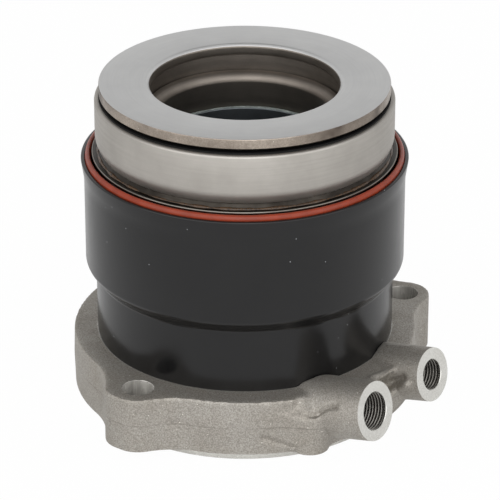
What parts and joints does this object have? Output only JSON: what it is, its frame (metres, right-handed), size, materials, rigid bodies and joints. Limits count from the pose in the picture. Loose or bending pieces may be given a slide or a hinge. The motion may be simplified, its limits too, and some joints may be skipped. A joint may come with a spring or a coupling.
{
  "type": "concentric slave cylinder",
  "caption": "Concentric hydraulic clutch slave cylinder: a flanged cast housing with inclined ports, an annular piston on a guide tube, a dust shroud and a release bearing.",
  "frame": {"origin": "on the guide tube's axis, at the bottom of the pilot spigot that the part stands on", "axes": "+Z along the axis towards the thrust plate; the ports point between +X and -Y"},
  "size_m": [0.1083, 0.1071, 0.0974],
  "materials": {
    "cast_aluminium": "shot blasted die casting",
    "tube_steel": "drawn and ground",
    "black_rubber": "moulded",
    "black_paint": "semi-gloss black coat on drawn steel",
    "red_rubber": "moulded silicone",
    "dark_steel": "phosphated",
    "spring_steel": "drawn wire",
    "piston_aluminium": "turned",
    "white_polymer": "skived",
    "guide_polymer": "moulded",
    "carrier_steel": "pressed, with a film of grease",
    "bearing_steel": "turned and ground",
    "ground_steel": "face ground",
    "cage_polymer": "moulded",
    "ball_steel": "polished"
  },
  "bodies": {
    "housing_unit": {"housing": "cast_aluminium", "guide_tube": "tube_steel", "guide_tube_o_ring": "black_rubber", "dust_shroud": "black_paint", "wiper_ring": "red_rubber", "spring_seat": "dark_steel", "preload_spring": "spring_steel", "stop_ring": "dark_steel"},
    "piston_unit": {"piston": "piston_aluminium", "piston_seal": "black_rubber", "seal_backing_ring": "white_polymer", "piston_guide_ring": "guide_polymer", "bearing_carrier": "carrier_steel", "carrier_retaining_ring": "dark_steel", "bearing_outer_ring": "bearing_steel", "upper_bearing_seal": "black_rubber", "lower_bearing_seal": "black_rubber"},
    "inner_ring_unit": {"bearing_inner_ring": "bearing_steel", "thrust_plate": "ground_steel"},
    "ball_unit": {"bearing_cage": "cage_polymer", "bearing_balls": "ball_steel"}
  },
  "joints": [
    {"name": "piston_slide", "type": "slide", "parent": "housing_unit", "child": "piston_unit", "axis": [0, 0, 1], "range_m": [-0.014, 0], "stiffness_N_per_m": 2000, "springref_m": 0.03, "deforming": ["preload_spring"]},
    {"name": "bearing_spin", "type": "hinge", "parent": "piston_unit", "child": "inner_ring_unit", "pos_m": [0, 0, 0.0855], "axis": [0, 0, 1], "continuous": true},
    {"name": "cage_spin", "type": "hinge", "parent": "piston_unit", "child": "ball_unit", "pos_m": [0, 0, 0.0855], "axis": [0, 0, 1], "continuous": true}
  ],
  "couplings": [
    {"joint": "cage_spin", "follows": "bearing_spin", "ratio": 0.45139}
  ]
}
